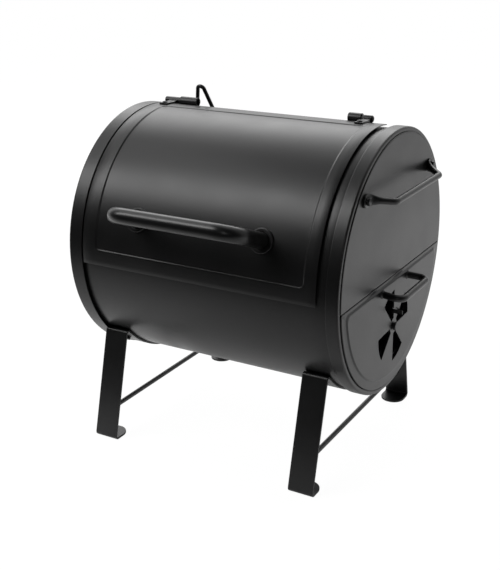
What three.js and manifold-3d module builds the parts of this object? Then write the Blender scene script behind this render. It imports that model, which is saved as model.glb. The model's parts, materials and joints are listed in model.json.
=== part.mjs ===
// Table-top barrel charcoal grill that also bolts on as an offset firebox.
// Units are millimetres. While it is built, X runs along the barrel axis towards the ash drawer,
// -Y is the front, +Z is up, and the origin is the middle of the barrel axis. The finished group
// is then set down so that the origin is at the middle of its footprint, on the surface it stands on.
import * as THREE from 'three';
import { mergeVertices } from 'three/addons/utils/BufferGeometryUtils.js';
import Module from 'manifold-3d';

const wasm = await Module();
wasm.setup();

// ---- Driving dimensions ------------------------------------------------------------------
const SEGMENTS = 60;                 // facets in a full turn of the barrel
const STEP = 360 / SEGMENTS;
const GAP = 0.3;                     // clearance where separate pieces touch
const SHEET = 1.2;                   // body and lid sheet thickness

const SHELL_R = 185.5;               // outside of the barrel sheet
const SHELL_HALF = 202.7;            // half its length
const CAP_R = 190;                   // outside of the end caps
const CAP_SHEET = 1.5;
const END_X = 212.5;                 // outer face of the end-cap lips
const LEFT_CAP_EDGE = 190.2;         // how far in the left cap's rim reaches
const RIGHT_CAP_EDGE = 195;
const LIP_R = 183.2;                 // inner edge of the rolled lip
const FACE_RAISE = 1.2;              // the end face stands this far proud of the lip

const OPENING = { x0: -172, x1: 168, front: 2, rear: 94 };
const LID = { x0: -187.5, x1: 181, front: -3, rear: 98.3, r: 189.8 };
const PANEL = { x0: -165, x1: 163, front: 4, rear: 88, sink: 1.2 };

const HINGE_Y = 34;
const HINGE_Z = 191.5;
const HINGE_TUBE_R = 6.75;
const PIN_R = 5;
const HINGES = [
  { side: 'left', tube: [-160, -130], lug: [-178, -165], pin: [-189, -134] },
  { side: 'right', tube: [121, 141], lug: [143.5, 155.5], pin: [125, 158.5] },
];

const AXIS_HEIGHT = 293.2;           // barrel axis above the surface
const STRAP = 3;                     // leg strap thickness
const STRAP_WIDTH = 38;
const LEG_FRAMES = [{ side: 'left', x: -170.6 }, { side: 'right', x: 161 }];
const FOOT_Y = 183;                  // outer face of the leg at the foot
const FOOT_LENGTH = 39;

const DRAWER_CHORD_Z = -17.5;        // top edge of the drawer front
const DRAWER_R = 182.4;
const DRAWER_X = 215.9;              // outer face of its raised panel
const DRAWER_RAISE = 1.8;            // how far the panel stands proud of its border
const PANEL_SHEET = 1.5;
const HUB_Z = -94.8;                   // damper centre
const VENT = { count: 4, tilt: 23, width: 41, inner: 12, outer: 56 };
const TAB_R = [20, 26];              // the finger tab's place on the damper

// ---- Shapes and solids -------------------------------------------------------------------
const rad = THREE.MathUtils.degToRad;
// A point in the YZ plane, by angle from the front, over the top and round the back.
const polar = (r, deg) => new THREE.Vector2(-r * Math.cos(rad(deg)), r * Math.sin(rad(deg)));
// Maps a shape's own x, y and extrusion direction onto world Y, Z and X.
const ALONG_X = new THREE.Matrix4().set(0, 0, 1, 0, 1, 0, 0, 0, 0, 1, 0, 0, 0, 0, 0, 1);

function extrudeX(shape, x0, x1, curveSegments = 12) {
  const geometry = new THREE.ExtrudeGeometry(shape, { depth: x1 - x0, bevelEnabled: false, curveSegments });
  return geometry.translate(0, 0, x0).applyMatrix4(ALONG_X);
}

function shapeOf(points, holes = []) {
  const shape = new THREE.Shape(points);
  holes.forEach((hole) => shape.holes.push(new THREE.Path(hole)));
  return shape;
}

// Points on an arc, with the same facets as every other barrel part.
function arcPoints(r, from, to) {
  const points = [polar(r, from)];
  for (let a = (Math.floor(from / STEP) + 1) * STEP; a < to - 0.01; a += STEP) {
    points.push(polar(r, a));
  }
  points.push(polar(r, to));
  return points;
}

function curvedSheet(rInner, rOuter, from, to, x0, x1) {
  const outline = [...arcPoints(rInner, from, to), ...arcPoints(rOuter, from, to).reverse()];
  return extrudeX(shapeOf(outline), x0, x1);
}

// Revolves [x, radius] points about the barrel axis.
function revolve(profile, segments = SEGMENTS) {
  const points = profile.map(([x, r]) => new THREE.Vector2(r, x)).reverse();
  const lathe = new THREE.LatheGeometry(points, segments);
  return lathe.applyMatrix4(new THREE.Matrix4().set(0, 1, 0, 0, 0, 0, 1, 0, 1, 0, 0, 0, 0, 0, 0, 1));
}

function rod(x0, x1, r, y, z, segments = 20) {
  return new THREE.CylinderGeometry(r, r, x1 - x0, segments)
    .rotateZ(Math.PI / 2).translate((x0 + x1) / 2, y, z);
}

function box(x0, x1, y0, y1, z0, z1) {
  return new THREE.BoxGeometry(x1 - x0, y1 - y0, z1 - z0)
    .translate((x0 + x1) / 2, (y0 + y1) / 2, (z0 + z1) / 2);
}

function solid(geometry) {
  const bare = geometry.clone();
  bare.deleteAttribute('normal');
  bare.deleteAttribute('uv');
  const merged = mergeVertices(bare, 1e-4);
  return new wasm.Manifold(new wasm.Mesh({
    numProp: 3,
    vertProperties: new Float32Array(merged.attributes.position.array),
    triVerts: new Uint32Array(merged.index.array),
  }));
}

function geometryOf(manifold) {
  const mesh = manifold.getMesh();
  const geometry = new THREE.BufferGeometry();
  geometry.setAttribute('position', new THREE.BufferAttribute(new Float32Array(mesh.vertProperties), 3));
  geometry.setIndex(new THREE.BufferAttribute(new Uint32Array(mesh.triVerts), 1));
  geometry.computeVertexNormals();
  return geometry;
}

function join(...geometries) {
  return geometryOf(geometries.map(solid).reduce((all, next) => all.add(next)));
}

function cut(geometry, ...tools) {
  return geometryOf(tools.map(solid).reduce((left, tool) => left.subtract(tool), solid(geometry)));
}

function common(a, b) {
  return geometryOf(solid(a).intersect(solid(b)));
}

// Rounds the corners of a path in a plane; radii gives one value for each inner point.
function roundedPath(points, radii, steps = 5) {
  const path = [points[0]];
  for (let i = 1; i < points.length - 1; i += 1) {
    const corner = points[i];
    const back = points[i - 1].clone().sub(corner).normalize();
    const ahead = points[i + 1].clone().sub(corner).normalize();
    const half = Math.acos(THREE.MathUtils.clamp(back.dot(ahead), -1, 1)) / 2;
    const reach = radii[i - 1] / Math.tan(half);
    const centre = corner.clone().add(back.clone().add(ahead).normalize()
      .multiplyScalar(radii[i - 1] / Math.sin(half)));
    const start = corner.clone().addScaledVector(back, reach).sub(centre);
    const end = corner.clone().addScaledVector(ahead, reach).sub(centre);
    const turn = Math.PI - 2 * half;
    for (let k = 0; k <= steps; k += 1) {
      const t = k / steps;
      const a = Math.sin((1 - t) * turn) / Math.sin(turn);
      const b = Math.sin(t * turn) / Math.sin(turn);
      path.push(centre.clone().addScaledVector(start, a).addScaledVector(end, b));
    }
  }
  path.push(points[points.length - 1]);
  return path;
}

// The outline of a flat strip of even thickness that follows a path.
function stripOutline(path, thickness) {
  const sides = [[], []];
  path.forEach((point, i) => {
    const before = path[Math.max(i - 1, 0)];
    const after = path[Math.min(i + 1, path.length - 1)];
    const dIn = point.clone().sub(before).normalize();
    const dOut = after.clone().sub(point).normalize();
    const along = (i === 0 ? dOut : dIn).clone().add(i === path.length - 1 ? dIn : dOut).normalize();
    const normal = new THREE.Vector2(-along.y, along.x);
    const reach = thickness / 2 / Math.max(along.dot(i === 0 ? dOut : dIn), 0.3);
    sides[0].push(point.clone().addScaledVector(normal, reach));
    sides[1].unshift(point.clone().addScaledVector(normal, -reach));
  });
  return [...sides[0], ...sides[1]];
}

// A round bar that follows straight runs joined by round bends.
function bentRod(points, radius, bend, sides, stepLength) {
  const curve = new THREE.CurvePath();
  let from = points[0];
  for (let i = 1; i < points.length - 1; i += 1) {
    const corner = points[i];
    const back = points[i - 1].clone().sub(corner).normalize();
    const ahead = points[i + 1].clone().sub(corner).normalize();
    const start = corner.clone().addScaledVector(back, bend);
    const end = corner.clone().addScaledVector(ahead, bend);
    curve.add(new THREE.LineCurve3(from, start));
    curve.add(new THREE.QuadraticBezierCurve3(start, corner, end));
    from = end;
  }
  curve.add(new THREE.LineCurve3(from, points[points.length - 1]));
  const section = new THREE.Shape();
  section.absarc(0, 0, radius, 0, 2 * Math.PI, false);
  return new THREE.ExtrudeGeometry(section, {
    steps: Math.round(curve.getLength() / stepLength),
    extrudePath: curve,
    curveSegments: sides / 2,
    bevelEnabled: false,
  });
}

// Turns a fastener drawn along +Z so that it points along the given direction from a point.
function aim(geometry, point, direction) {
  const turn = new THREE.Quaternion().setFromUnitVectors(
    new THREE.Vector3(0, 0, 1), direction.clone().normalize());
  return geometry.applyQuaternion(turn).translate(point.x, point.y, point.z);
}

// A hex-head bolt: the head's underside is at z = 0 and the shank points along -Z.
function hexBolt(shankR, length, headR, headHeight) {
  const head = new THREE.CylinderGeometry(headR, headR, headHeight, 6).rotateX(Math.PI / 2)
    .translate(0, 0, headHeight / 2);
  const shank = new THREE.CylinderGeometry(shankR, shankR, length + 0.5, 12).rotateX(Math.PI / 2)
    .translate(0, 0, -length / 2 + 0.25);
  return join(head, shank);
}

// A domed screw head with its shank.
function domeBolt(shankR, length, headR, headHeight) {
  const profile = [new THREE.Vector2(0, -length), new THREE.Vector2(shankR, -length),
    new THREE.Vector2(shankR, 0), new THREE.Vector2(headR, 0)];
  for (let k = 1; k <= 2; k += 1) {
    const a = (k / 3) * Math.PI / 2;
    profile.push(new THREE.Vector2(headR * Math.cos(a), headHeight * Math.sin(a)));
  }
  profile.push(new THREE.Vector2(0, headHeight));
  return new THREE.LatheGeometry(profile, 12).rotateX(Math.PI / 2);
}

function hexNut(bore, outer, height) {
  const ring = new THREE.Shape();
  for (let k = 0; k < 6; k += 1) {
    const a = rad(60 * k);
    const method = k === 0 ? 'moveTo' : 'lineTo';
    ring[method](outer * Math.cos(a), outer * Math.sin(a));
  }
  ring.closePath();
  const hole = new THREE.Path();
  hole.absarc(0, 0, bore, 0, 2 * Math.PI, true);
  ring.holes.push(hole);
  return new THREE.ExtrudeGeometry(ring, { depth: height, bevelEnabled: false, curveSegments: 6 });
}

const grill = new THREE.Group();
function add(name, geometry, finish) {
  const material = new THREE.MeshStandardMaterial(finish);
  const mesh = new THREE.Mesh(geometry, material);
  mesh.name = name;
  grill.add(mesh);
  return mesh;
}

const PAINT = { color: 0x1b1b1c, roughness: 0.42, metalness: 0.35 };
const HANDLE_PAINT = { color: 0x242425, roughness: 0.35, metalness: 0.3 };
const ZINC = { color: 0x2b2b2d, roughness: 0.4, metalness: 0.8 };
const CAST_IRON = { color: 0x202021, roughness: 0.75, metalness: 0.5 };
const BARE_STEEL = { color: 0x3a3a3c, roughness: 0.5, metalness: 0.8 };

const vec = (x, p) => new THREE.Vector3(x, p.x, p.y);
const radial = (deg) => new THREE.Vector3(0, -Math.cos(rad(deg)), Math.sin(rad(deg)));

// ---- Leg bolts: where the strap is fastened under the barrel -------------------------------
const LEG_BOLT_ANGLES = [-52, -128];
const BOLT_R = 3;
const BOLT_HOLE_R = 3.4;
const legBolts = LEG_FRAMES.flatMap(({ side, x }) => LEG_BOLT_ANGLES.map((angle, i) => ({
  name: `${side}_${i === 0 ? 'front' : 'rear'}_leg`, x, angle,
})));

function radialHole(x, angle, r) {
  const drill = new THREE.CylinderGeometry(r, r, 40, 12).rotateX(Math.PI / 2);
  return aim(drill, vec(x, polar(SHELL_R, angle)), radial(angle));
}

// ---- Carry handle places ---------------------------------------------------------------------
const CARRY = { boltY: 119, boltZ: 117.3, gripX: 242, gripY: 83, gripZ: 111.8, r: 4.5 };
const END_FACE_X = END_X + FACE_RAISE;

// ---- Barrel ----------------------------------------------------------------------------------
const hinge = { bolt: 105.5, leafFrom: 99.5, leafTo: 108.5 };
const hingeBolts = HINGES.map(({ side, tube }) => ({ side, x: (tube[0] + tube[1]) / 2 }));
const opening = curvedSheet(
  SHELL_R - 20, SHELL_R + 20, OPENING.front, OPENING.rear, OPENING.x0, OPENING.x1);
add('barrel_shell', cut(
  revolve([[-SHELL_HALF, SHELL_R - SHEET], [SHELL_HALF, SHELL_R - SHEET], [SHELL_HALF, SHELL_R],
    [-SHELL_HALF, SHELL_R], [-SHELL_HALF, SHELL_R - SHEET]]),
  opening,
  ...legBolts.map(({ x, angle }) => radialHole(x, angle, BOLT_HOLE_R)),
  ...hingeBolts.map(({ x }) => radialHole(x, hinge.bolt, BOLT_HOLE_R)),
), PAINT);

// ---- End caps ---------------------------------------------------------------------------------
// A pressed cap from its open edge, over the rolled lip, to the middle of the raised face.
const CAP_BEVEL = 2.4;                // the pressed shoulder between rim and lip
const SHOULDER = 0.3 * CAP_BEVEL;
function capProfile(edge) {
  const face = END_FACE_X;
  return [[edge, CAP_R - CAP_SHEET], [END_X - CAP_SHEET, CAP_R - CAP_SHEET],
    [END_X - CAP_SHEET, LIP_R - CAP_SHEET], [face - CAP_SHEET, LIP_R - CAP_SHEET],
    [face - CAP_SHEET, 0], [face, 0], [face, LIP_R], [END_X, LIP_R],
    [END_X, CAP_R - CAP_BEVEL], [END_X - SHOULDER, CAP_R - SHOULDER],
    [END_X - CAP_BEVEL, CAP_R], [edge, CAP_R], [edge, CAP_R - CAP_SHEET]];
}
const carryHoles = [-1, 1].map((s) => rod(
  END_X - 10, END_X + 10, BOLT_HOLE_R, s * CARRY.boltY, CARRY.boltZ, 12));
add('left_end_cap', revolve(capProfile(LEFT_CAP_EDGE).map(([x, r]) => [-x, r]).reverse()), PAINT);

// The D-shaped doorway in the right cap.
const DOOR_GAP = 0.9;
const belowChord = box(END_X - 20, END_X + 20, -200, 200, -200, DRAWER_CHORD_Z + DOOR_GAP);
const disc = (x0, x1, r) => revolve([[x0, 0], [x1, 0], [x1, r], [x0, r], [x0, 0]]);
const doorway = common(disc(END_X - 12, END_X + 5, LIP_R + 0.2), belowChord);
add('right_end_cap', cut(revolve(capProfile(RIGHT_CAP_EDGE)), doorway, ...carryHoles), PAINT);

// Stepped hoops inside each end: they carry the cap and stiffen the end of the sheet.
const HOOP_R = SHELL_R - SHEET - GAP;
const HOOP_SHEET = 1.5;
const HOOP_INNER_X = 186;
function hoopProfile() {
  const flange = SHELL_HALF + GAP;
  return [[HOOP_INNER_X, HOOP_R - HOOP_SHEET], [flange + HOOP_SHEET, HOOP_R - HOOP_SHEET],
    [flange + HOOP_SHEET, CAP_R - CAP_SHEET - GAP], [flange, CAP_R - CAP_SHEET - GAP],
    [flange, HOOP_R], [HOOP_INNER_X, HOOP_R], [HOOP_INNER_X, HOOP_R - HOOP_SHEET]];
}
add('right_end_hoop', revolve(hoopProfile()), PAINT);
add('left_end_hoop', revolve(hoopProfile().map(([x, r]) => [-x, r]).reverse()), PAINT);

// ---- Leg frames: one strap bent into foot, leg, cradle, leg and foot -----------------------------
const strapCentreR = SHELL_R + GAP + STRAP / 2;
const FOLD = { angle: -41.8, out: 1.3 };  // where the strap leaves the barrel
const foldPoint = polar(strapCentreR + FOLD.out, FOLD.angle);
const floorZ = -AXIS_HEIGHT;
function legSidePath() {
  const fold = foldPoint;
  const touch = Math.acos(strapCentreR / (strapCentreR + FOLD.out)) * THREE.MathUtils.RAD2DEG;
  const cornerZ = floorZ + STRAP / 2;
  const corner = new THREE.Vector2(-FOOT_Y + STRAP / 2, cornerZ);
  const tip = new THREE.Vector2(-FOOT_Y + FOOT_LENGTH, cornerZ);
  const cradle = arcPoints(strapCentreR, -90, FOLD.angle - touch).reverse();
  const bends = roundedPath([tip, corner, fold, cradle[0]], [4, 3.2]);
  const front = [...bends.slice(0, -1), ...cradle];
  const rear = front.slice(0, -1).map((p) => new THREE.Vector2(-p.x, p.y)).reverse();
  return [...front, ...rear];
}
// Seen from above, each foot ends in a half round.
function footPlan(x) {
  const plan = new THREE.Shape();
  const half = STRAP_WIDTH / 2;
  const tip = FOOT_Y - FOOT_LENGTH + half;
  plan.moveTo(x - half, -FOOT_Y - 5);
  plan.lineTo(x + half, -FOOT_Y - 5);
  plan.lineTo(x + half, -tip);
  plan.absarc(x, -tip, half, 0, Math.PI, false);
  plan.closePath();
  return plan;
}
function footMask(x) {
  const slabShape = { depth: 12, bevelEnabled: false, curveSegments: 12 };
  const slab = () => new THREE.ExtrudeGeometry(footPlan(x), slabShape).translate(0, 0, floorZ - 2);
  const upper = box(x - 30, x + 30, -250, 250, floorZ + 6, 0);
  return join(upper, slab(), slab().rotateZ(Math.PI).translate(2 * x, 0, 0));
}
const legOutline = stripOutline(legSidePath(), STRAP);
LEG_FRAMES.forEach(({ side, x }) => {
  const strap = extrudeX(shapeOf(legOutline), x - STRAP_WIDTH / 2, x + STRAP_WIDTH / 2);
  const holes = LEG_BOLT_ANGLES.map((angle) => radialHole(x, angle, BOLT_HOLE_R));
  add(`${side}_leg_frame`, cut(common(strap, footMask(x)), ...holes), PAINT);
});

// Round tie rods weld across from leg to leg, low down.
const TIE = { r: 3.6, z: -250, inset: 0.5 };
const legSlope = (FOOT_Y - STRAP / 2 + foldPoint.x) / (foldPoint.y - floorZ - STRAP / 2);
const tieHalf = FOOT_Y - STRAP / 2 - legSlope * (TIE.z - floorZ - STRAP / 2)
  - (STRAP / 2) * Math.hypot(1, legSlope) - legSlope * TIE.r - GAP;
LEG_FRAMES.forEach(({ side, x }) => {
  const tie = new THREE.CylinderGeometry(TIE.r, TIE.r, 2 * tieHalf, 16).translate(x + TIE.inset, 0, TIE.z);
  add(`${side}_leg_tie_rod`, tie, PAINT);
});

legBolts.forEach(({ name, x, angle }) => {
  const outer = vec(x, polar(SHELL_R + STRAP + 2 * GAP, angle));
  add(`${name}_bolt`, aim(hexBolt(BOLT_R, 14, 6, 4), outer, radial(angle)), ZINC);
  const inner = vec(x, polar(SHELL_R - SHEET - GAP - 0.2, angle));
  add(`${name}_nut`, aim(hexNut(BOLT_R + GAP, 6, 4.5), inner, radial(angle).negate()), ZINC);
});

// ---- Hinges: a tube on a leaf behind the lid, and an arm with a pin on the lid ---------------------
const axisAngle = 180 - THREE.MathUtils.RAD2DEG * Math.atan2(HINGE_Z, HINGE_Y);
const axisR = Math.hypot(HINGE_Y, HINGE_Z);
HINGES.forEach(({ side, tube }) => {
  const leafR = SHELL_R + GAP;
  const leaf = curvedSheet(leafR, leafR + 2, hinge.leafFrom, hinge.leafTo, tube[0], tube[1]);
  const web = curvedSheet(leafR, axisR - PIN_R - 0.7, axisAngle, axisAngle + 3, tube[0], tube[1]);
  const barrel = rod(tube[0], tube[1], HINGE_TUBE_R, HINGE_Y, HINGE_Z, 24);
  const bore = rod(tube[0] - 1, tube[1] + 1, PIN_R + 0.45, HINGE_Y, HINGE_Z, 24);
  const x = (tube[0] + tube[1]) / 2;
  const hole = radialHole(x, hinge.bolt, BOLT_HOLE_R);
  add(`${side}_hinge_leaf`, cut(join(leaf, web, barrel), bore, hole), PAINT);
  const outer = vec(x, polar(leafR + 2 + GAP, hinge.bolt));
  add(`${side}_hinge_leaf_rivet`, aim(domeBolt(BOLT_R, 4.2, 5.5, 2.6), outer, radial(hinge.bolt)), ZINC);
});

// ---- Lid stop: a bent rod loop that the open lid leans on -----------------------------------------
const STOP = { x: -129.5, halfSpan: 19, rodR: 3, topY: 37.9, topZ: 215, baseAngle: 111.5 };
const stopBase = polar(SHELL_R + GAP + 0.2, STOP.baseAngle);
const stopLoop = bentRod([
  new THREE.Vector3(STOP.x - STOP.halfSpan, stopBase.x, stopBase.y),
  new THREE.Vector3(STOP.x - 5, STOP.topY, STOP.topZ + 3),
  new THREE.Vector3(STOP.x + 5, STOP.topY, STOP.topZ + 3),
  new THREE.Vector3(STOP.x + STOP.halfSpan, stopBase.x, stopBase.y),
], STOP.rodR, 4.9, 10, 5);
add('lid_stop', cut(stopLoop, disc(-200, 200, SHELL_R + GAP)), PAINT);

// ---- Lid -------------------------------------------------------------------------------------------
const HANDLE = { angle: 19.5, gripAngle: 19.9, x: 97.5, reach: 75, r: 11, bend: 31 };
const handleHoles = [-1, 1].map((s) => radialHole(s * HANDLE.x, HANDLE.angle, BOLT_HOLE_R));
const LUG_BOLT_ANGLE = 91.6;
const LUG_BOLT_R = 2;
const LUG_HOLE_R = 2.4;
const LUG_PAD = 2.2;                 // thickness of the arm's pad on the lid
const lugHoles = HINGES.map(({ lug }) => radialHole((lug[0] + lug[1]) / 2, LUG_BOLT_ANGLE, LUG_HOLE_R));
const lidInner = LID.r - SHEET;
const panelOuter = LID.r - PANEL.sink;
const panelInner = lidInner - PANEL.sink;
const STEP_ANGLE = 0.5;              // degrees of arc that the step's wall takes up
const sunkOutside = curvedSheet(panelOuter, LID.r + 1, PANEL.front, PANEL.rear, PANEL.x0, PANEL.x1);
add('lid_shell', cut(join(
  cut(curvedSheet(lidInner, LID.r, LID.front, LID.rear, LID.x0, LID.x1), sunkOutside),
  curvedSheet(panelInner, lidInner + 0.2, PANEL.front - STEP_ANGLE, PANEL.rear + STEP_ANGLE,
    PANEL.x0 - SHEET, PANEL.x1 + SHEET),
  curvedSheet(SHELL_R + 2 * GAP, lidInner + 0.2, LID.front, LID.front + 3, -150, 150),
), ...handleHoles, ...lugHoles), PAINT);

HINGES.forEach(({ side, lug, pin }) => {
  const padR = LID.r + GAP;
  const padTop = padR + LUG_PAD;
  const pad = curvedSheet(padR, padTop, 88.8, 97.4, lug[0], lug[1]);
  const arm = [polar(padR + 0.1, 95.4), polar(padR + 0.1, 97.2), polar(axisR, axisAngle + 0.8),
    polar(axisR + 4, axisAngle), polar(axisR + 2.5, axisAngle - 1.5), polar(padTop, 95.2)];
  const web = extrudeX(shapeOf(arm), lug[0], lug[1]);
  const drill = radialHole((lug[0] + lug[1]) / 2, LUG_BOLT_ANGLE, LUG_HOLE_R);
  const body = cut(join(pad, web), drill);
  add(`${side}_lid_hinge_arm`, join(body, rod(pin[0], pin[1], PIN_R, HINGE_Y, HINGE_Z, 24)), PAINT);
  const seat = vec((lug[0] + lug[1]) / 2, polar(padTop + GAP, LUG_BOLT_ANGLE));
  add(`${side}_hinge_arm_screw`, aim(domeBolt(LUG_BOLT_R, 7, 4, 2.2), seat, radial(LUG_BOLT_ANGLE)), ZINC);
});

const rosetteThickness = 3;
const handleStart = panelOuter + rosetteThickness + 2 * GAP;
const handleFoot = polar(handleStart, HANDLE.angle);
const handleGrip = polar(panelOuter + HANDLE.reach, HANDLE.gripAngle);
const handlePoints = [[-1, handleFoot], [-1, handleGrip], [1, handleGrip], [1, handleFoot]]
  .map(([s, at]) => vec(s * HANDLE.x, at));
const handleDrill = [-1, 1].map((s) => aim(
  new THREE.CylinderGeometry(BOLT_HOLE_R, BOLT_HOLE_R, 36, 12).rotateX(Math.PI / 2),
  vec(s * HANDLE.x, handleFoot), radial(HANDLE.angle)));
add('lid_handle', cut(bentRod(handlePoints, HANDLE.r, HANDLE.bend, 16, 9), ...handleDrill), HANDLE_PAINT);
const ROSETTE_R = 17;
[['left', -1], ['right', 1]].forEach(([side, s]) => {
  const ring = new THREE.Shape();
  ring.absarc(0, 0, ROSETTE_R, 0, 2 * Math.PI, false);
  const hole = new THREE.Path();
  hole.absarc(0, 0, BOLT_HOLE_R, 0, 2 * Math.PI, true);
  ring.holes.push(hole);
  const depth = rosetteThickness;
  const rosette = new THREE.ExtrudeGeometry(ring, { depth, bevelEnabled: false, curveSegments: 18 });
  const seat = vec(s * HANDLE.x, polar(panelOuter + GAP, HANDLE.angle));
  const trim = disc(-300, 300, panelOuter + GAP);
  add(`${side}_handle_rosette`, cut(aim(rosette, seat, radial(HANDLE.angle)), trim), HANDLE_PAINT);
  const inner = vec(s * HANDLE.x, polar(panelInner - GAP - 0.2, HANDLE.angle));
  add(`${side}_handle_screw`, aim(domeBolt(BOLT_R, 18, 6, 3), inner, radial(HANDLE.angle).negate()), ZINC);
});

// ---- Carry handle on the drawer end ------------------------------------------------------------------
const PADDLE = { r: 9, thickness: 3, neck: 13, neckHalf: 5 };
function carryHandle() {
  const x0 = END_FACE_X + GAP;
  const x1 = x0 + PADDLE.thickness;
  const neckY = CARRY.boltY - PADDLE.neck;
  const side = (s) => [
    new THREE.Vector3((x0 + x1) / 2, s * neckY, CARRY.boltZ - 1),
    new THREE.Vector3(CARRY.gripX, s * CARRY.gripY, CARRY.gripZ),
  ];
  const bar = bentRod([...side(-1), ...side(1).reverse()], CARRY.r, 9, 10, 7);
  const paddles = [-1, 1].flatMap((s) => [
    rod(x0, x1, PADDLE.r, s * CARRY.boltY, CARRY.boltZ, 24),
    box(x0, x1, Math.min(s * neckY, s * CARRY.boltY), Math.max(s * neckY, s * CARRY.boltY),
      CARRY.boltZ - 1 - PADDLE.neckHalf, CARRY.boltZ - 1 + PADDLE.neckHalf),
  ]);
  return cut(join(bar, ...paddles), box(END_X - 30, x0, -200, 200, 0, 200), ...carryHoles);
}
add('carry_handle', carryHandle(), PAINT);
[['front', -1], ['rear', 1]].forEach(([end, s]) => {
  const outward = new THREE.Vector3(1, 0, 0);
  const seat = new THREE.Vector3(END_FACE_X + 2 * GAP + PADDLE.thickness, s * CARRY.boltY, CARRY.boltZ);
  add(`carry_handle_${end}_bolt`, aim(hexBolt(BOLT_R, 11, 5.5, 4), seat, outward), ZINC);
  const back = new THREE.Vector3(END_FACE_X - CAP_SHEET - GAP, s * CARRY.boltY, CARRY.boltZ);
  add(`carry_handle_${end}_nut`, aim(hexNut(BOLT_R + GAP, 5.5, 4), back, outward.clone().negate()), ZINC);
});

// ---- Cooking grates and the ledges they lie on ---------------------------------------------------------
const GRATE = { top: -6, thickness: 8, halfY: 172, bar: 7, slot: 12, x0: -176, x1: 176 };
const LEDGE = { y: 150, thickness: 2, x: 176, drop: 14 };
// How far out something inside the barrel can reach at a given height.
const reachAt = (z) => Math.sqrt((SHELL_R - SHEET - 2 * GAP) ** 2 - z ** 2) - 0.4;
function grate(x0, x1) {
  const bottom = GRATE.top - GRATE.thickness;
  const pitch = GRATE.bar + GRATE.slot;
  const count = Math.floor((x1 - x0 - GRATE.bar) / pitch);
  const margin = (x1 - x0 - count * pitch + GRATE.bar) / 2;
  const slots = [];
  for (let i = 0; i < count; i += 1) {
    const left = x0 + margin + i * pitch;
    [[12 - GRATE.halfY, -GRATE.bar / 2], [GRATE.bar / 2, GRATE.halfY - 12]].forEach(([y0, y1]) => {
      slots.push(box(left, left + GRATE.slot, y0, y1, bottom - 1, GRATE.top + 1));
    });
  }
  return cut(box(x0, x1, -GRATE.halfY, GRATE.halfY, bottom, GRATE.top), ...slots);
}
add('left_cooking_grate', grate(GRATE.x0, -1), CAST_IRON);
add('right_cooking_grate', grate(1, GRATE.x1), CAST_IRON);
const ledgeZ = GRATE.top - GRATE.thickness - GAP;
[['front', -1], ['rear', 1]].forEach(([end, s]) => {
  const wallZ = ledgeZ - LEDGE.drop;
  const outline = [[LEDGE.y, ledgeZ], [reachAt(ledgeZ), ledgeZ], [reachAt(wallZ), wallZ],
    [reachAt(wallZ) - LEDGE.thickness, wallZ],
    [reachAt(ledgeZ) - LEDGE.thickness - 0.4, ledgeZ - LEDGE.thickness],
    [LEDGE.y, ledgeZ - LEDGE.thickness]].map(([y, z]) => new THREE.Vector2(s * y, z));
  add(`${end}_grate_ledge`, extrudeX(shapeOf(outline), -LEDGE.x, LEDGE.x), BARE_STEEL);
});

// ---- Ash drawer -------------------------------------------------------------------------------------
// The D outline of the drawer front, drawn in from its edge by a margin.
function drawerOutline(arcInset, chordInset) {
  const r = DRAWER_R - arcInset;
  const z = DRAWER_CHORD_Z - chordInset;
  const start = THREE.MathUtils.RAD2DEG * Math.asin(-z / r);
  return arcPoints(r, -180 + start, -start);
}
const hubRod = (r, x0 = 190, x1 = 230) => rod(x0, x1, r, 0, HUB_Z, 16);
function sector(inner, outer, centre, width, x0, x1) {
  const at = (r, deg) => new THREE.Vector2(r * Math.cos(rad(deg)), HUB_Z + r * Math.sin(rad(deg)));
  const points = [];
  for (let k = 0; k <= 5; k += 1) {
    points.push(at(outer, centre - width / 2 + (k / 5) * width));
  }
  for (let k = 5; k >= 0; k -= 1) {
    points.push(at(inner, centre - width / 2 + (k / 5) * width));
  }
  return extrudeX(shapeOf(points), x0, x1);
}
const panelBack = DRAWER_X - PANEL_SHEET;
const borderFace = DRAWER_X - DRAWER_RAISE;
const borderBack = borderFace - PANEL_SHEET;
const SKIRT_X = 205.2;
const BORDER = 13;
const CHORD_BORDER = 5;
const DRAWER_HANDLE = { rootY: 48.5, rootZ: -31.5, gripX: 245.5, gripY: 52.5, gripZ: -33.5, r: 5 };
const ventAngles = Array.from({ length: VENT.count }, (_, k) => VENT.tilt + 90 * k);
const handleBoreAt = (s) => rod(190, 230, BOLT_HOLE_R, s * DRAWER_HANDLE.rootY, DRAWER_HANDLE.rootZ, 12);
const front = cut(
  join(
    extrudeX(shapeOf(drawerOutline(0, 0)), SKIRT_X, borderFace),
    extrudeX(shapeOf(drawerOutline(BORDER, CHORD_BORDER)), borderBack, DRAWER_X),
  ),
  extrudeX(shapeOf(drawerOutline(PANEL_SHEET, PANEL_SHEET)), SKIRT_X - 1, borderBack),
  extrudeX(shapeOf(drawerOutline(BORDER + PANEL_SHEET, CHORD_BORDER + PANEL_SHEET)), SKIRT_X - 1, panelBack),
  ...ventAngles.map((angle) => sector(VENT.inner, VENT.outer, angle, VENT.width, 190, 230)),
  sector(TAB_R[0] - 1.2, TAB_R[1] + 1.2, VENT.tilt + 45, 90 - VENT.width + 4, 190, 230),
  hubRod(BOLT_HOLE_R),
  handleBoreAt(-1),
  handleBoreAt(1),
);
add('drawer_front', front, PAINT);

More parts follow.
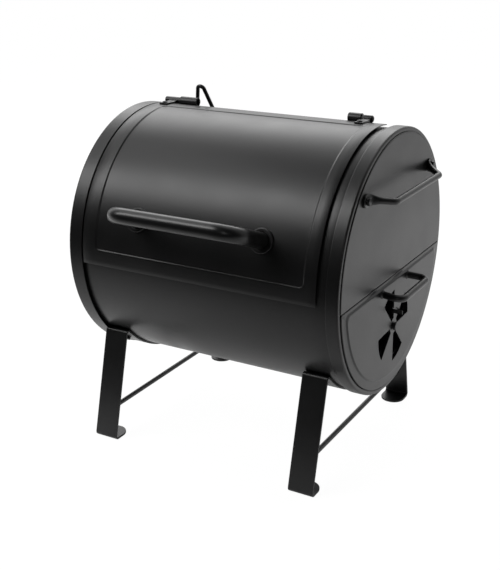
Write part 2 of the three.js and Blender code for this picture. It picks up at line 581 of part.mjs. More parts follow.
const drawerHandleSide = (s) => [
  new THREE.Vector3(DRAWER_X - 3, s * DRAWER_HANDLE.rootY, DRAWER_HANDLE.rootZ),
  new THREE.Vector3(DRAWER_HANDLE.gripX, s * DRAWER_HANDLE.gripY, DRAWER_HANDLE.gripZ),
];
const drawerHandleRod = bentRod([...drawerHandleSide(-1), ...drawerHandleSide(1).reverse()],
  DRAWER_HANDLE.r, 9, 10, 5);
add('drawer_handle', cut(drawerHandleRod, disc(190, DRAWER_X + GAP, LIP_R)), PAINT);
[['front', -1], ['rear', 1]].forEach(([end, s]) => {
  const seat = new THREE.Vector3(
    panelBack - GAP, s * DRAWER_HANDLE.rootY, DRAWER_HANDLE.rootZ);
  const screw = domeBolt(BOLT_R, DRAWER_X - panelBack + GAP, 5.5, 2.6);
  add(`drawer_handle_${end}_screw`, aim(screw, seat, new THREE.Vector3(-1, 0, 0)), ZINC);
});

// The tray: an open pan with sloping sides, hung from the front and sliding on two runners.
const TRAY = { x0: -178, top: -44, bottom: -146, halfTop: 150, halfBottom: 88, sheet: 1.5, flange: 9 };
function trayOutline(inset, drop) {
  return [[-TRAY.halfTop + inset, TRAY.top + drop], [-TRAY.halfBottom + inset * 0.8, TRAY.bottom + inset],
    [TRAY.halfBottom - inset * 0.8, TRAY.bottom + inset], [TRAY.halfTop - inset, TRAY.top + drop]]
    .map(([y, z]) => new THREE.Vector2(y, z));
}
const trayEnd = borderBack - GAP;
const rotorFront = panelBack - 2 * GAP;
const rotorBack = rotorFront - PANEL_SHEET;
const AIR_HALF = VENT.outer + 8;      // half width of the air gap in the tray's front wall
const trayBody = cut(
  extrudeX(shapeOf(trayOutline(0, 0)), TRAY.x0, trayEnd),
  extrudeX(shapeOf(trayOutline(TRAY.sheet, 1)), TRAY.x0 + TRAY.sheet, trayEnd - TRAY.sheet),
  box(trayEnd - 10, trayEnd + 10, -AIR_HALF, AIR_HALF, TRAY.bottom + TRAY.sheet, TRAY.top + 5),
  hubRod(VENT.outer + 5, rotorBack - 0.5, trayEnd + 10),
);
const RUNNER = { x0: -176, x1: 184, sheet: 2, drop: 12 };
const trayFlanges = [-1, 1].map((s) => box(TRAY.x0, trayEnd,
  Math.min(s * (TRAY.halfTop - 1), s * (TRAY.halfTop + TRAY.flange)),
  Math.max(s * (TRAY.halfTop - 1), s * (TRAY.halfTop + TRAY.flange)), TRAY.top - TRAY.sheet, TRAY.top));
add('ash_tray', join(trayBody, ...trayFlanges), BARE_STEEL);
[['front', -1], ['rear', 1]].forEach(([end, s]) => {
  const y0 = TRAY.halfTop + 2;
  const z1 = TRAY.top - TRAY.sheet - GAP;
  const z0 = z1 - RUNNER.drop;
  const outline = [[y0, z1], [reachAt(z1), z1], [reachAt(z0), z0], [reachAt(z0) - RUNNER.sheet, z0],
    [reachAt(z1) - RUNNER.sheet - 1, z1 - RUNNER.sheet], [y0, z1 - RUNNER.sheet]]
    .map(([y, z]) => new THREE.Vector2(s * y, z));
  add(`${end}_drawer_runner`, extrudeX(shapeOf(outline), RUNNER.x0, RUNNER.x1), BARE_STEEL);
});

// Charcoal grate resting on the sloping sides of the tray.
const FIRE = { z: -104, thickness: 6, x0: -170, x1: 190, bar: 6, slot: 13 };
const fireHalf = TRAY.halfBottom + (TRAY.halfTop - TRAY.halfBottom)
  * ((FIRE.z - FIRE.thickness - TRAY.bottom) / (TRAY.top - TRAY.bottom)) - 3.2;
function charcoalGrate() {
  const bottom = FIRE.z - FIRE.thickness;
  const pitch = FIRE.bar + FIRE.slot;
  const count = Math.floor((FIRE.x1 - FIRE.x0 - 12) / pitch);
  const slots = [];
  for (let i = 0; i < count; i += 1) {
    const left = FIRE.x0 + 12 + i * pitch;
    slots.push(box(left, left + FIRE.slot, 8 - fireHalf, fireHalf - 8, bottom - 1, FIRE.z + 1));
  }
  return cut(box(FIRE.x0, FIRE.x1, -fireHalf, fireHalf, bottom, FIRE.z), ...slots);
}
add('charcoal_grate', charcoalGrate(), CAST_IRON);

// ---- Air damper: a four-bladed plate behind the drawer front, turned by a finger tab -------------------
const bladeWidth = 90 - VENT.width - 2;
const blades = ventAngles.map((angle) => sector(
  3, VENT.outer + 3, angle + 45, bladeWidth, rotorBack, rotorFront));
const tabAngle = VENT.tilt + 45 + bladeWidth / 2;
const tabStem = sector(TAB_R[0], TAB_R[1], tabAngle - 1, 8, rotorBack, rotorFront);
const tabBlade = sector(TAB_R[0], TAB_R[1], tabAngle + 1.2, 3.6, rotorBack, DRAWER_X + 13);
add('damper_rotor', cut(join(hubRod(VENT.inner + 2, rotorBack, rotorFront), ...blades, tabStem, tabBlade),
  hubRod(BOLT_HOLE_R)), PAINT);
const hubSeat = new THREE.Vector3(DRAWER_X + GAP, 0, HUB_Z);
add('damper_bolt', aim(hexBolt(BOLT_R, 12, 6, 4.5), hubSeat, new THREE.Vector3(1, 0, 0)), ZINC);
const hubBack = new THREE.Vector3(rotorBack - GAP, 0, HUB_Z);
add('damper_nut', aim(hexNut(BOLT_R + GAP, 6, 4.5), hubBack, new THREE.Vector3(-1, 0, 0)), ZINC);

// ---- Set the grill down with its footprint centred on the origin ------------------------------------
const bounds = new THREE.Box3().setFromObject(grill);
const middle = bounds.getCenter(new THREE.Vector3());
grill.position.set(-middle.x, -middle.y, -bounds.min.z);
grill.updateMatrixWorld(true);

export default grill;
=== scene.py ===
"""Looks for the table-top barrel charcoal grill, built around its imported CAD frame.

Every piece is drawn in millimetres from the middle of the barrel axis (x along the barrel towards the
ash drawer, y to the back, z up) and is then set in the part's own frame, in metres.
"""

import json
import math

import bmesh
import bpy
from mathutils import Matrix, Quaternion, Vector


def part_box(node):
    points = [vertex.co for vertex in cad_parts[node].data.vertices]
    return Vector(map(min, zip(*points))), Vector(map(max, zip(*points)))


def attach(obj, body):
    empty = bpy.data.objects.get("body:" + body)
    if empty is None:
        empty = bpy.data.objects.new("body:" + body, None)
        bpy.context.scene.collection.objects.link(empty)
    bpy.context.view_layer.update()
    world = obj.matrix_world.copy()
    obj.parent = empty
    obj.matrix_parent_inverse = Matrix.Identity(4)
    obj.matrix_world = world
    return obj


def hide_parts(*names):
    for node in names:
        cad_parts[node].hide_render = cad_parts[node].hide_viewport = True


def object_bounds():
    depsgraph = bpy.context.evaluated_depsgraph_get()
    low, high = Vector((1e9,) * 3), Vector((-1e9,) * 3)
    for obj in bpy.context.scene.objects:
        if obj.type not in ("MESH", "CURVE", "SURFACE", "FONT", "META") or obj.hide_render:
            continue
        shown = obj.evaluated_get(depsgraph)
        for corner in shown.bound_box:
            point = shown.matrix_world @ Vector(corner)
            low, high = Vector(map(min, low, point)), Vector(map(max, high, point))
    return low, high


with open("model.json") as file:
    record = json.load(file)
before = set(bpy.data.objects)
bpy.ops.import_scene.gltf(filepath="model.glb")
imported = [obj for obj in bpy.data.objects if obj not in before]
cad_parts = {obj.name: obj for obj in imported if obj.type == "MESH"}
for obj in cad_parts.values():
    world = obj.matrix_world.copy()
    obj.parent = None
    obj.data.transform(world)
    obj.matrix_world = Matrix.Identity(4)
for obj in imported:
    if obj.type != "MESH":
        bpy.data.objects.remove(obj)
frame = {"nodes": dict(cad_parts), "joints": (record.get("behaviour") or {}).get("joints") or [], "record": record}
cad_low, cad_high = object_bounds()

MM = 0.001
UP = Vector((0, 0, 1))


# ---- Where things are, read from the frame ---------------------------------------------------------
def centre_of(*nodes):
    corners = [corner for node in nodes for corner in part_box(node)]
    low = Vector([min(c[i] for c in corners) for i in range(3)])
    high = Vector([max(c[i] for c in corners) for i in range(3)])
    return (low + high) / 2


AXIS = centre_of("left_end_cap", "right_end_cap")      # the middle of the barrel axis


def local(point):
    """A point of the part's frame as millimetres from the middle of the barrel axis."""
    return (Vector(point) - AXIS) / MM


def local_box(node):
    low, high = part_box(node)
    return local(low), local(high)


FACE_X = local_box("right_end_cap")[1].x
CAP_R = local_box("left_end_cap")[1].z
LEFT_EDGE = -local_box("left_end_cap")[1].x
RIGHT_EDGE = local_box("right_end_cap")[0].x
SHELL_X = local_box("barrel_shell")[1].x
SHELL_R = local_box("barrel_shell")[1].z
LID_X = (local_box("lid_shell")[0].x, local_box("lid_shell")[1].x)
DRAWER_X = local_box("drawer_front")[1].x
CHORD_Z = local_box("drawer_front")[1].z
HUB = local(centre_of("damper_bolt"))
HINGE = next(joint for joint in frame["joints"] if joint["name"] == "lid_hinge")
HINGE_Y, HINGE_Z = local(HINGE["pos_m"]).yz
FLOOR_Z = local(cad_low).z

SHEET = 1.2
LID_R = 189.8                 # the outside of the lid
LIP_R = 183.2                 # the inner edge of the lips round the end faces
FACE_RAISE = 1.2              # the end faces stand this far proud of the lips round them
END_X = FACE_X - FACE_RAISE


# ---- Drawing helpers -------------------------------------------------------------------------------
def polar(r, degrees):
    """(y, z) at an angle from the front, over the top and round the back."""
    a = math.radians(degrees)
    return Vector((-r * math.cos(a), r * math.sin(a)))


def on_barrel(x, r, degrees):
    y, z = polar(r, degrees)
    return Vector((x, y, z))


def outward(degrees):
    return on_barrel(0, 1, degrees)


def spread(start, stop, step):
    """Even steps from start to stop, no longer than step."""
    count = max(1, math.ceil(abs(stop - start) / step))
    return [start + (stop - start) * k / count for k in range(count + 1)]


def fillet(points, radii, steps=6):
    """A polyline with its inner corners rounded by true arcs, in two or three dimensions."""
    points = [Vector(p) for p in points]
    path = [points[0]]
    for corner, before, after, radius in zip(points[1:-1], points, points[2:], radii):
        back = (before - corner).normalized()
        ahead = (after - corner).normalized()
        if radius <= 0:
            path.append(corner)
            continue
        half = math.acos(max(-1, min(1, back.dot(ahead)))) / 2
        centre = corner + (back + ahead).normalized() * (radius / math.sin(half))
        reach = radius / math.tan(half)
        start = corner + back * reach - centre
        end = corner + ahead * reach - centre
        turn = math.pi - 2 * half
        for k in range(steps + 1):
            t = k / steps
            weights = math.sin((1 - t) * turn), math.sin(t * turn)
            path.append(centre + (start * weights[0] + end * weights[1]) / math.sin(turn))
    path.append(points[-1])
    return path


def rounded_loop(corners, radii, steps=6):
    """A closed outline with rounded corners."""
    corners = [Vector(c) for c in corners]
    count = len(corners)
    loop = []
    for i, radius in enumerate(radii):
        before, corner, after = corners[i - 1], corners[i], corners[(i + 1) % count]
        loop += fillet([before, corner, after], [radius], steps)[1:-1]
    return loop


def resample(path, step):
    """The same path with no stretch longer than step."""
    result = [path[0]]
    for a, b in zip(path, path[1:]):
        count = max(1, math.ceil((b - a).length / step))
        result += [a.lerp(b, k / count) for k in range(1, count + 1)]
    return result


def smoothstep(low, high, value):
    t = max(0.0, min(1.0, (value - low) / (high - low)))
    return t * t * (3 - 2 * t)


class Drawing:
    """Points and faces of one piece, in millimetres from the middle of the barrel axis."""

    def __init__(self):
        self.points = []
        self.faces = []

    def ring(self, points):
        start = len(self.points)
        self.points += [Vector(p) for p in points]
        return list(range(start, len(self.points)))

    def bridge(self, a, b, closed=True):
        count = len(a)
        for i in range(count if closed else count - 1):
            j = (i + 1) % count
            corners = dict.fromkeys((a[i], a[j], b[j], b[i]))
            if len(corners) > 2:
                self.faces.append(tuple(corners))

    def cap(self, ring, reverse=False):
        self.faces.append(tuple(reversed(ring)) if reverse else tuple(ring))

    def loft(self, rings, cap_ends=True):
        made = [self.ring(r) for r in rings]
        for a, b in zip(made, made[1:]):
            self.bridge(a, b)
        if cap_ends:
            self.cap(made[0], reverse=True)
            self.cap(made[-1])
        return made

    def add(self, other):
        start = len(self.points)
        self.points += other.points
        self.faces += [tuple(start + i for i in face) for face in other.faces]
        return self

    def moved(self, matrix):
        self.points = [matrix @ p for p in self.points]
        return self


def lofted(rings):
    drawing = Drawing()
    drawing.loft(rings)
    return drawing


def revolve(profile, segments=128):
    """Turns (x, radius) points about the barrel axis. A closed profile makes a closed ring."""
    drawing = Drawing()
    angles = [360 * k / segments for k in range(segments)]
    rings = []
    for x, r in profile:
        if abs(r) < 1e-6:
            rings.append([len(drawing.points)] * segments)
            drawing.points.append(Vector((x, 0, 0)))
        else:
            rings.append(drawing.ring([on_barrel(x, r, a) for a in angles]))
    for a, b in zip(rings, rings[1:]):
        drawing.bridge(a, b)
    return drawing


def aimed(drawing, foot, direction):
    """Moves a drawing that stands on x = 0 and points along +x to a foot and a direction."""
    turn = Vector((1, 0, 0)).rotation_difference(Vector(direction).normalized()).to_matrix().to_4x4()
    return drawing.moved(Matrix.Translation(Vector(foot)) @ turn)


def turned(profile, foot, direction, segments=40):
    """Turns (height, radius) points about a line from foot along direction."""
    return aimed(revolve(profile, segments), foot, direction)


def tangent(path, k):
    """The direction of a polyline at a point, halfway between the stretches that meet there."""
    ahead = path[min(k + 1, len(path) - 1)] - path[k]
    behind = path[k] - path[max(k - 1, 0)]
    return (ahead.normalized() + behind.normalized()).normalized()


def tube(path, section, side):
    """Sweeps a cross-section along a path. section(k) gives (across, along side) points; side is the
    direction that the section's second axis keeps as near as it can."""
    rings = []
    for k, point in enumerate(path):
        along = tangent(path, k)
        wide = (side - along * side.dot(along)).normalized()
        thin = wide.cross(along)
        rings.append([point + thin * a + wide * b for a, b in section(k)])
    return lofted(rings)


def circle(radius, sides=24):
    return [(radius * math.cos(2 * math.pi * i / sides), radius * math.sin(2 * math.pi * i / sides))
            for i in range(sides)]


def round_bar(path, radius, side, sides=24, step=6):
    path = resample(path, step)
    return tube(path, lambda k: circle(radius, sides), side)


def strip(path, sides, thickness):
    """A flat sheet strip of even thickness along a (y, z) path, with its two x places at each point."""
    rings = []
    for k, (point, (x0, x1)) in enumerate(zip(path, sides)):
        along = tangent(path, k)
        normal = Vector((-along.y, along.x)) * thickness / 2
        upper, lower = point + normal, point - normal
        rings.append([(x0, *upper), (x1, *upper), (x1, *lower), (x0, *lower)])
    return lofted(rings)


def plate(outline, holes, x0, x1):
    """A flat plate across the barrel axis, from a (y, z) outline and holes."""
    mesh = bmesh.new()
    edges = []
    for loop in [outline, *holes]:
        vertices = [mesh.verts.new((x0, p[0], p[1])) for p in loop]
        edges += [mesh.edges.new((a, b)) for a, b in zip(vertices, vertices[1:] + vertices[:1])]
    bmesh.ops.triangle_fill(mesh, edges=edges, use_beauty=True, use_dissolve=False, normal=(1, 0, 0))
    bmesh.ops.dissolve_limit(mesh, angle_limit=math.radians(1), verts=mesh.verts, edges=mesh.edges)
    extruded = bmesh.ops.extrude_face_region(mesh, geom=list(mesh.faces), use_keep_orig=True)
    moved = [v for v in extruded["geom"] if isinstance(v, bmesh.types.BMVert)]
    bmesh.ops.translate(mesh, verts=moved, vec=(x1 - x0, 0, 0))
    return from_bmesh(mesh)


def from_bmesh(mesh):
    drawing = Drawing()
    mesh.verts.index_update()
    drawing.points = [v.co.copy() for v in mesh.verts]
    drawing.faces = [tuple(v.index for v in face.verts) for face in mesh.faces]
    mesh.free()
    return drawing


def hull(points):
    mesh = bmesh.new()
    for point in points:
        mesh.verts.new(point)
    bmesh.ops.convex_hull(mesh, input=mesh.verts)
    loose = [v for v in mesh.verts if not v.link_faces]
    bmesh.ops.delete(mesh, geom=loose, context="VERTS")
    bmesh.ops.dissolve_limit(mesh, angle_limit=math.radians(2), verts=mesh.verts, edges=mesh.edges)
    return from_bmesh(mesh)


# ---- Materials -------------------------------------------------------------------------------------
SPECULAR = 0.5
UNEVEN_GLOSS = 0.08           # how far the roughness varies, as a share of it
BLOTCHES = 14                 # the scale of the noise behind the colour and the gloss
NOISE_RANGE = (0.3, 0.7)      # the part of the noise that is spread over the whole variation
RELIEF = 0.0003               # the depth of the fine texture, in metres


def surface(name, colour, roughness, metallic=0.0, mottle=0.25, grain=1600, bump=0.12):
    """A painted or metal finish with a fine texture, faint colour variation and uneven gloss."""
    material = bpy.data.materials.new(name)
    material.use_nodes = True
    nodes, links = material.node_tree.nodes, material.node_tree.links
    shader = nodes["Principled BSDF"]
    shader.inputs["Metallic"].default_value = metallic
    shader.inputs["Specular IOR Level"].default_value = SPECULAR
    place = nodes.new("ShaderNodeTexCoord").outputs["Object"]

    def noise(scale, detail):
        texture = nodes.new("ShaderNodeTexNoise")
        texture.inputs["Scale"].default_value = scale
        texture.inputs["Detail"].default_value = detail
        links.new(place, texture.inputs["Vector"])
        return texture.outputs["Fac"]

    def ramp(value, low, high):
        span = nodes.new("ShaderNodeMapRange")
        span.inputs["From Min"].default_value = NOISE_RANGE[0]
        span.inputs["From Max"].default_value = NOISE_RANGE[1]
        span.inputs["To Min"].default_value = low
        span.inputs["To Max"].default_value = high
        links.new(value, span.inputs["Value"])
        return span.outputs["Result"]

    broad = noise(BLOTCHES, 4)
    fine = noise(grain, 3)
    tint = nodes.new("ShaderNodeMix")
    tint.data_type = "RGBA"
    tint.inputs["A"].default_value = (*[c * (1 - mottle) for c in colour], 1)
    tint.inputs["B"].default_value = (*[c * (1 + mottle) for c in colour], 1)
    links.new(broad, tint.inputs["Factor"])
    links.new(tint.outputs["Result"], shader.inputs["Base Color"])
    gloss = ramp(broad, roughness * (1 - UNEVEN_GLOSS), roughness * (1 + UNEVEN_GLOSS))
    links.new(gloss, shader.inputs["Roughness"])
    relief = nodes.new("ShaderNodeBump")
    relief.inputs["Strength"].default_value = bump
    relief.inputs["Distance"].default_value = RELIEF
    links.new(fine, relief.inputs["Height"])
    links.new(relief.outputs["Normal"], shader.inputs["Normal"])
    return material


PAINT = surface("satin_black_paint", (0.006, 0.006, 0.0063), 0.36)
HANDLE_PAINT = surface("handle_black_paint", (0.008, 0.008, 0.0083), 0.30, bump=0.06)
FASTENER = surface("blackened_steel", (0.02, 0.02, 0.021), 0.34, metallic=0.6, grain=900, bump=0.08)
IRON = surface("cast_iron", (0.022, 0.021, 0.02), 0.62, metallic=0.3, mottle=0.4, grain=420, bump=0.5)
STEEL = surface("plain_steel_sheet", (0.18, 0.18, 0.185), 0.42, metallic=0.9, grain=700, bump=0.15)
SLOT_MATERIALS = {
    "black_paint": PAINT, "handle_paint": HANDLE_PAINT, "zinc": FASTENER,
    "cast_iron": IRON, "bare_steel": STEEL,
}


# ---- Turning drawings into pieces ------------------------------------------------------------------
def piece(name, drawing, body, node, slot, bevel=0.0, segments=2, crease=32, thickness=0.0):
    """Makes a piece that stands for a CAD node: thickness grows a sheet inwards, bevel rounds its edges."""
    mesh = bpy.data.meshes.new(name)
    mesh.from_pydata([AXIS + p * MM for p in drawing.points], [], drawing.faces)
    clean = bmesh.new()
    clean.from_mesh(mesh)
    bmesh.ops.remove_doubles(clean, verts=clean.verts, dist=1e-6)
    bmesh.ops.recalc_face_normals(clean, faces=clean.faces)
    clean.to_mesh(mesh)
    clean.free()
    mesh.shade_smooth()
    thing = bpy.data.objects.new(name, mesh)
    bpy.context.scene.collection.objects.link(thing)
    mesh.materials.append(SLOT_MATERIALS[slot])
    if thickness:
        sheet = thing.modifiers.new("sheet", "SOLIDIFY")
        sheet.thickness = thickness * MM
        sheet.offset = -1
    if bevel:
        edge = thing.modifiers.new("edge", "BEVEL")
        edge.width = bevel * MM
        edge.segments = segments
        edge.limit_method = "ANGLE"
        edge.angle_limit = math.radians(crease)
    mesh.set_sharp_from_angle(angle=math.radians(crease))
    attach(thing, body)
    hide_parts(node)


BODY, LID, DRAWER, DAMPER = "grill_body", "lid", "ash_drawer", "damper"


# ---- Barrel shell: a full cylinder with the lid's opening cut out of it ----------------------------
OPENING_X = (-172, 168)
OPENING_ANGLES = (2, 94)
SHELL_STEP = 2.5              # degrees between the lines of the shell's mesh


def barrel_shell():
    opening = spread(*OPENING_ANGLES, SHELL_STEP)
    behind = spread(OPENING_ANGLES[1], OPENING_ANGLES[0] + 360, SHELL_STEP)[1:-1]
    angles = [*opening, *behind]
    drawing = Drawing()
    rings = [drawing.ring([on_barrel(x, SHELL_R, a) for a in angles])
             for x in (-SHELL_X, *OPENING_X, SHELL_X)]
    for column, (a, b) in enumerate(zip(rings, rings[1:])):
        for i in range(len(angles)):
            if column == 1 and i < len(opening) - 1:
                continue
            j = (i + 1) % len(angles)
            drawing.faces.append((a[i], a[j], b[j], b[i]))
    piece("shell_sheet", drawing, BODY, "barrel_shell", "black_paint", thickness=SHEET, bevel=0.25)


# ---- End caps: a pressed rim and lip, a fine groove and a face that stands proud inside it ---------
CAP_SHEET = 1.5
SHOULDER = 2.4                # the radius between the rim and the lip
GROOVE = 0.9
GROOVE_ROUNDS = (0.4, 0.2)
FACE_ROUND = 0.8
HEM_DEPTH = 0.45
EDGE_LINE = 1.0               # a line of points this far from an edge keeps the shading flat up to it


def cap_rim(edge):
    """From the rim's open edge, over the shoulder and the lip, to the bottom of the groove."""
    edge_line = (edge + EDGE_LINE, CAP_R)
    shoulder_line = (END_X - SHOULDER - EDGE_LINE, CAP_R)
    corners = [edge_line, (END_X, CAP_R), (END_X, LIP_R + GROOVE), (END_X - GROOVE, LIP_R + GROOVE),
               (END_X - GROOVE, LIP_R)]
    bends = fillet(corners, [SHOULDER, *GROOVE_ROUNDS], 5)[1:]
    return [(edge, CAP_R), edge_line, shoulder_line, *bends]


def cap_inside(edge):
    corners = [(END_X - CAP_SHEET, LIP_R), (END_X - CAP_SHEET, CAP_R - CAP_SHEET), (edge, CAP_R - CAP_SHEET)]
    return fillet(corners, [SHOULDER - CAP_SHEET], 3)


def hem(edge):
    """The rounded open edge of the rim."""
    middle = CAP_R - CAP_SHEET / 2
    return [(edge - HEM_DEPTH * math.cos(a), middle + CAP_SHEET / 2 * math.sin(a))
            for a in (math.radians(d) for d in range(-60, 61, 30))]


def left_cap():
    wall = [(END_X - GROOVE, LIP_R), (FACE_X, LIP_R), (FACE_X, LIP_R - 3 * EDGE_LINE)]
    back = [(FACE_X, 0), (FACE_X - CAP_SHEET, 0), (FACE_X - CAP_SHEET, LIP_R - CAP_SHEET),
            (END_X - CAP_SHEET, LIP_R - CAP_SHEET)]
    profile = [*cap_rim(LEFT_EDGE), *fillet(wall, [FACE_ROUND], 4)[1:], *back,
               *cap_inside(LEFT_EDGE)[1:], *hem(LEFT_EDGE)]
    ring = [(-x, r) for x, r in profile]
    piece("left_cap", revolve([*ring, ring[0]]), BODY, "left_end_cap", "black_paint")


DOOR_GAP = 0.9
DOOR_TOP = CHORD_Z + DOOR_GAP
CORNER_STEPS = 8
ARC_STEPS = 72


def segment(r, z, corner):
    """The part of a disc below a level, as (y, z) points, with its two corners rounded."""
    middle_z = z - corner
    middle_y = math.sqrt((r - corner) ** 2 - middle_z ** 2)
    start = math.degrees(math.atan2(middle_z, middle_y))
    left = []
    for k in range(CORNER_STEPS):
        a = math.radians(90 + (90 - start) * k / CORNER_STEPS)
        left.append(Vector((-middle_y + corner * math.cos(a), middle_z + corner * math.sin(a))))
    arc = [polar(r, start + (-180 - 2 * start) * k / ARC_STEPS) for k in range(ARC_STEPS + 1)]
    right = [Vector((-p.x, p.y)) for p in reversed(left)]
    return [*left, *arc, *right]


FACE_CORNER = 1.2
FACE_EDGE = ((-0.1, END_X - CAP_SHEET), (0, FACE_X - FACE_ROUND), (0.25, FACE_X - 0.25), (0.9, FACE_X),
             (2.4, FACE_X))   # (inset, x) up the face's wall and over its rounded edge


def face_loop(inset, x):
    """The right end face's outline, above the drawer, drawn in from its edge."""
    return [(x, y, -z) for y, z in segment(LIP_R - inset, -DOOR_TOP - inset, FACE_CORNER)]


def right_cap():
    profile = [*cap_rim(RIGHT_EDGE), *cap_inside(RIGHT_EDGE), *hem(RIGHT_EDGE)]
    drawing = revolve([*profile, profile[0]])
    drawing.loft([face_loop(inset, x) for inset, x in FACE_EDGE])
    piece("right_cap", drawing, BODY, "right_end_cap", "black_paint")


# ---- Lid: a rolled sheet with a sunk panel ---------------------------------------------------------
LID_ANGLES = (-3, 98.3)
PANEL_X = (-165, 163)
PANEL_ANGLES = (4, 88)
PANEL_SINK = 1.2
PANEL_CORNER = 6
PANEL_STEP = 1.2              # half the width of the sloping step round the panel
ARC = math.radians(1) * LID_R
LINES_ALONG = {"near": PANEL_CORNER + 1, "fine": 0.75, "coarse": 24}        # mm
LINES_AROUND = {"near": 3.2, "fine": 0.25, "coarse": 2}                     # degrees


def lid_lines(low, high, marks, near, fine, coarse):
    """Grid lines from low to high: fine ones within near of each mark, coarse ones elsewhere."""
    stops = [low]
    for mark in marks:
        stops += [mark - near, mark + near]
    stops.append(high)
    lines = []
    for k, (a, b) in enumerate(zip(stops, stops[1:])):
        lines += spread(a, b, fine if k % 2 else coarse)[:-1]
    return [*lines, high]


def panel_depth(x, angle):
    """0 outside the panel, 1 on it, with a soft step between, from the distance to its rounded edge."""
    half_x = (PANEL_X[1] - PANEL_X[0]) / 2
    half_s = (PANEL_ANGLES[1] - PANEL_ANGLES[0]) / 2 * ARC
    dx = abs(x - sum(PANEL_X) / 2) - half_x + PANEL_CORNER
    ds = abs(angle - sum(PANEL_ANGLES) / 2) * ARC - half_s + PANEL_CORNER
    outside = math.hypot(max(dx, 0), max(ds, 0)) + min(max(dx, ds), 0) - PANEL_CORNER
    return smoothstep(PANEL_STEP, -PANEL_STEP, outside)


def lid_shell():
    xs = lid_lines(*LID_X, PANEL_X, **LINES_ALONG)
    angles = lid_lines(*LID_ANGLES, PANEL_ANGLES, **LINES_AROUND)
    drawing = Drawing()
    rings = [drawing.ring([on_barrel(x, LID_R - PANEL_SINK * panel_depth(x, a), a) for a in angles])
             for x in xs]
    for a, b in zip(rings, rings[1:]):
        drawing.bridge(a, b, closed=False)
    piece("lid_sheet", drawing, LID, "lid_shell", "black_paint", thickness=SHEET, bevel=0.3)


# ---- Leg frames: one strap bent into foot, leg, cradle, leg and foot -------------------------------
GAP = 0.3                     # between pieces that touch
STRAP = 3.0
FOOT_Y = 183.0
FOOT_LENGTH = 39.0
FOLD_ANGLE = -41.8            # where the cradle leaves the barrel and folds down into a leg
FOLD_OUT = 1.3
HEEL_BEND = 4.5
FOLD_BEND = 3.4
CRADLE_R = SHELL_R + GAP + STRAP / 2
CRADLE_STEP = 3
TOE_ANGLES = range(6, 91, 7)  # degrees round the toe


def leg_path():
    fold = polar(CRADLE_R + FOLD_OUT, FOLD_ANGLE)
    touch = math.degrees(math.acos(CRADLE_R / (CRADLE_R + FOLD_OUT)))
    level = FLOOR_Z + STRAP / 2
    tip = Vector((-FOOT_Y + FOOT_LENGTH, level))
    corner = Vector((-FOOT_Y + STRAP / 2, level))
    cradle = [polar(CRADLE_R, a) for a in spread(FOLD_ANGLE - touch, -90, CRADLE_STEP)]
    front = fillet([tip, corner, fold, cradle[0]], [HEEL_BEND, FOLD_BEND], 6)[:-1] + cradle
    return front, [Vector((-p.x, p.y)) for p in reversed(front[:-1])]


def leg_frame(side):
    """Both toes are rounded: the strap's half width follows a circle there."""
    low, high = local_box(f"{side}_leg_frame")
    middle, half = (low.x + high.x) / 2, (high.x - low.x) / 2
    front, rear = leg_path()
    tip = front[0]
    toe = [tip + Vector((-half * (1 - math.cos(math.radians(d))), 0)) for d in TOE_ANGLES]
    toe_widths = [math.sqrt(max(0, half ** 2 - (half - (tip - p).length) ** 2)) for p in toe]
    path = toe + front[1:] + rear[:-1] + [Vector((-p.x, p.y)) for p in reversed(toe)]
    widths = toe_widths + [half] * (len(front) + len(rear) - 2) + list(reversed(toe_widths))
    drawing = strip(path, [(middle - w, middle + w) for w in widths], STRAP)
    piece(f"{side}_strap", drawing, BODY, f"{side}_leg_frame", "black_paint", bevel=0.55, segments=3)


def tie_rod(side):
    """A rod with a weld collar at each end."""
    node = f"{side}_leg_tie_rod"
    low, high = local_box(node)
    x, z, r = (low.x + high.x) / 2, (low.z + high.z) / 2, (high.x - low.x) / 2
    length = high.y - low.y
    collar = [(0, 0), (0, r * 1.25), (0.8, r * 1.3), (2.4, r * 1.1), (4, r)]
    profile = collar + [(length - h, q) for h, q in reversed(collar)]
    piece(f"{side}_tie_rod", turned(profile, (x, low.y, z), (0, 1, 0), 28), BODY, node, "black_paint")


# ---- Fasteners -------------------------------------------------------------------------------------
WASHER = 0.5
WASHER_ROUND = 0.15
WASHER_TOP = 0.97             # the washer face narrows to this share of the flats
CHAMFER = 0.7
HEAD_TOP = 0.94               # the round top of a hex head, as a share of its flats
TIP_CHAMFER = 0.5
TIP_LENGTH = 0.6
SHANK_TOP = 0.2               # the shank starts inside the washer face


def hex_head(radius, height):
    """A chamfered hex head that stands on x = 0 and points along +x, on a round washer face."""
    flat = radius * math.cos(math.radians(30))
    points = [(WASHER, *p) for p in circle(radius, 6)]
    points += [(height - CHAMFER, *p) for p in circle(radius, 6)]
    points += [(height, *p) for p in circle(flat * HEAD_TOP)]
    washer = revolve([(0, 0), (0, flat), (WASHER - WASHER_ROUND, flat), (WASHER, flat * WASHER_TOP),
                      (WASHER, 0)], 32)
    return hull(points).add(washer)


def hex_bolt(node, body, foot, direction, radius, height, shank_r, shank):
    tip = [(TIP_LENGTH - shank, shank_r), (-shank, shank_r - TIP_CHAMFER), (-shank, 0)]
    drawing = hex_head(radius, height)
    drawing.add(revolve([(SHANK_TOP, 0), (SHANK_TOP, shank_r), *tip], 24))
    piece(f"{node}_head", aimed(drawing, foot, direction), body, node, "zinc", bevel=0.15)


def dome_screw(node, body, foot, direction, radius, height, shank_r, shank):
    rim = 0.3
    chamfer = 0.4
    tip = [(-shank, 0), (-shank, shank_r - chamfer), (chamfer - shank, shank_r)]
    dome = [(height * math.sin(math.radians(a)), radius * math.cos(math.radians(a)))
            for a in range(15, 90, 15)]
    profile = [*tip, (0, shank_r), (0, radius - rim), (rim, radius), *dome, (height, 0)]
    piece(f"{node}_dome", turned(profile, foot, direction, 32), body, node, "zinc")


